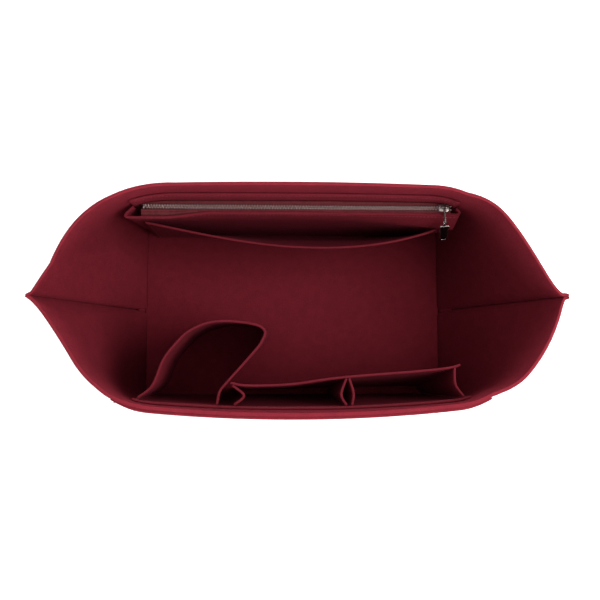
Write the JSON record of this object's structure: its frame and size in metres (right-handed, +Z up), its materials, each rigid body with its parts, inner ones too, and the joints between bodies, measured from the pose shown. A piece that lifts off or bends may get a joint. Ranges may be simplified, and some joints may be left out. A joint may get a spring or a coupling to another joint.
{
  "type": "purse organizer insert",
  "caption": "Open felt tub that stands inside a handbag, with sewn inner pockets, a bottle loop and a pocket closed by a metal zip with a sliding pull",
  "frame": {"origin": "centre of the bounding box, on the surface the tub stands on", "axes": "+X to the right along the tub, +Y towards the wall with the zip pocket, +Z up"},
  "size_m": [0.468, 0.2014, 0.17],
  "materials": {
    "felt": "matt wool-like felt, burgundy",
    "zip_tape": "woven tape, muted burgundy",
    "zip_metal": "nickel, polished by use",
    "pull_metal": "dark gunmetal"
  },
  "bodies": {
    "tub": {"back_panel": "felt", "front_panel": "felt", "base_panel": "felt", "outer_pocket_panel": "felt", "front_pocket_backing": "felt", "bottle_pocket_panel": "felt", "slot_pocket_face": "felt", "slot_gusset_left": "felt", "slot_gusset_mid_left": "felt", "slot_gusset_mid_right": "felt", "slot_gusset_right": "felt", "zip_pocket_rear_panel": "felt", "zip_pocket_front_panel": "felt", "slip_pocket_panel": "felt", "zipper_tape_rear": "zip_tape", "zipper_tape_front": "zip_tape", "zipper_teeth_rear": "zip_metal", "zipper_teeth_front": "zip_metal", "zipper_bottom_stop": "zip_metal", "zipper_top_stop_rear": "zip_metal", "zipper_top_stop_front": "zip_metal"},
    "slider": {"zipper_slider": "zip_metal"},
    "link": {"pull_link": "pull_metal"},
    "tab": {"pull_tab": "pull_metal"}
  },
  "joints": [
    {"name": "zip_travel", "type": "slide", "parent": "tub", "child": "slider", "axis": [1, 0, 0], "range_m": [-0.262, 0], "deforming": ["zipper_teeth_rear", "zipper_teeth_front"]},
    {"name": "link_swing", "type": "hinge", "parent": "slider", "child": "link", "pos_m": [0.131, 0.08723, 0.133], "axis": [-1, 0, 0], "range_deg": [0, 85]},
    {"name": "tab_swing", "type": "hinge", "parent": "link", "child": "tab", "pos_m": [0.131, 0.07413, 0.133], "axis": [-1, 0, 0], "range_deg": [0, 80]}
  ]
}
